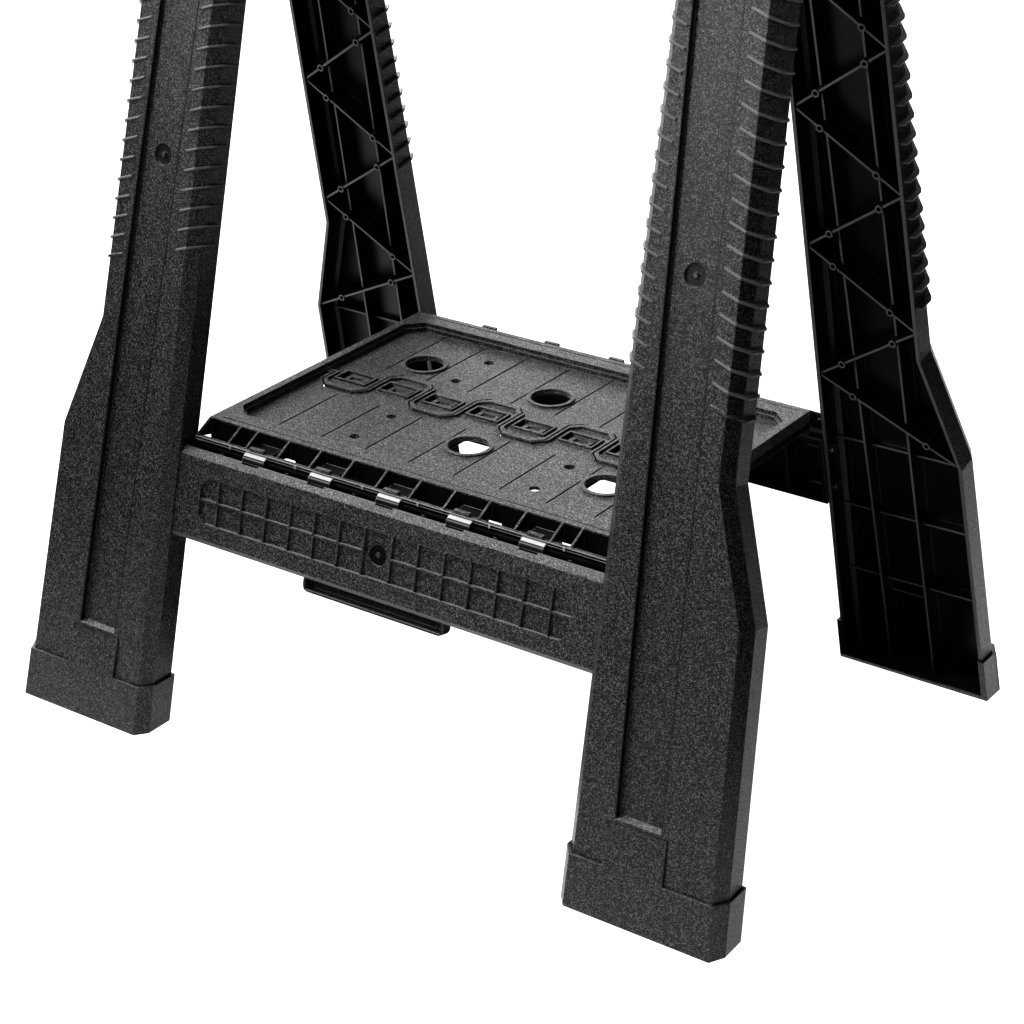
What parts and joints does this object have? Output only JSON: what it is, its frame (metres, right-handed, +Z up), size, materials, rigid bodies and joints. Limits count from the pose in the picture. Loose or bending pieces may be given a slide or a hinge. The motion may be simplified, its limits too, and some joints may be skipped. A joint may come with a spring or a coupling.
{
  "type": "folding sawhorse",
  "caption": "Folding plastic sawhorse with hollow ribbed legs, grip fins, crossbars, capped feet and a two-leaf tray that folds up between the legs.",
  "frame": {"origin": "on the floor, midway between the four feet of the opened sawhorse", "axes": "+X along the beam to the right seen from the front, +Y from the front side to the rear side, +Z up"},
  "size_m": [0.6158, 0.4322, 0.813],
  "materials": {
    "leg_plastic": "black polypropylene with a fine leather-like moulded grain",
    "bar_plastic": "black polypropylene, grained",
    "beam_plastic": "black polypropylene, grained",
    "foot_plastic": "black moulded foot cap, finer grain",
    "grip_plastic": "black moulded grip lip, smooth",
    "tray_plastic": "black polypropylene tray, fine grain, smooth raised edges",
    "rod": "smooth black rod",
    "pin": "blackened steel pin",
    "screw": "black self-tapping screw"
  },
  "bodies": {
    "front_frame": {"front_left_leg": "leg_plastic", "front_right_leg": "leg_plastic", "front_crossbar": "bar_plastic", "front_beam": "beam_plastic", "front_left_foot": "foot_plastic", "front_right_foot": "foot_plastic", "front_grip": "grip_plastic", "front_tray_rod": "rod", "front_screws": "screw", "top_hinge_rod": "pin"},
    "tray_front": {"front_tray_leaf": "tray_plastic", "tray_fold_pin": "pin"},
    "tray_rear": {"rear_tray_leaf": "tray_plastic"},
    "rear_frame": {"rear_left_leg": "leg_plastic", "rear_right_leg": "leg_plastic", "rear_crossbar": "bar_plastic", "rear_beam": "beam_plastic", "rear_left_foot": "foot_plastic", "rear_right_foot": "foot_plastic", "rear_grip": "grip_plastic", "rear_tray_rod": "rod", "rear_screws": "screw"}
  },
  "joints": [
    {"name": "tray_fold", "type": "hinge", "parent": "front_frame", "child": "tray_front", "pos_m": [0, -0.14147, 0.21202], "axis": [1, 0, 0], "range_deg": [0, 73.61]},
    {"name": "tray_middle", "type": "hinge", "parent": "tray_front", "child": "tray_rear", "pos_m": [0, 0, 0.21202], "axis": [1, 0, 0], "range_deg": [-173.72, 0]},
    {"name": "rear_side_swing", "type": "hinge", "parent": "tray_rear", "child": "rear_frame", "pos_m": [0, 0.14147, 0.21202], "axis": [1, 0, 0], "range_deg": [0, 73.61]}
  ],
  "couplings": [
    {"joint": "tray_middle", "follows": "tray_fold", "ratio": -2.36},
    {"joint": "rear_side_swing", "follows": "tray_fold", "ratio": 1}
  ]
}
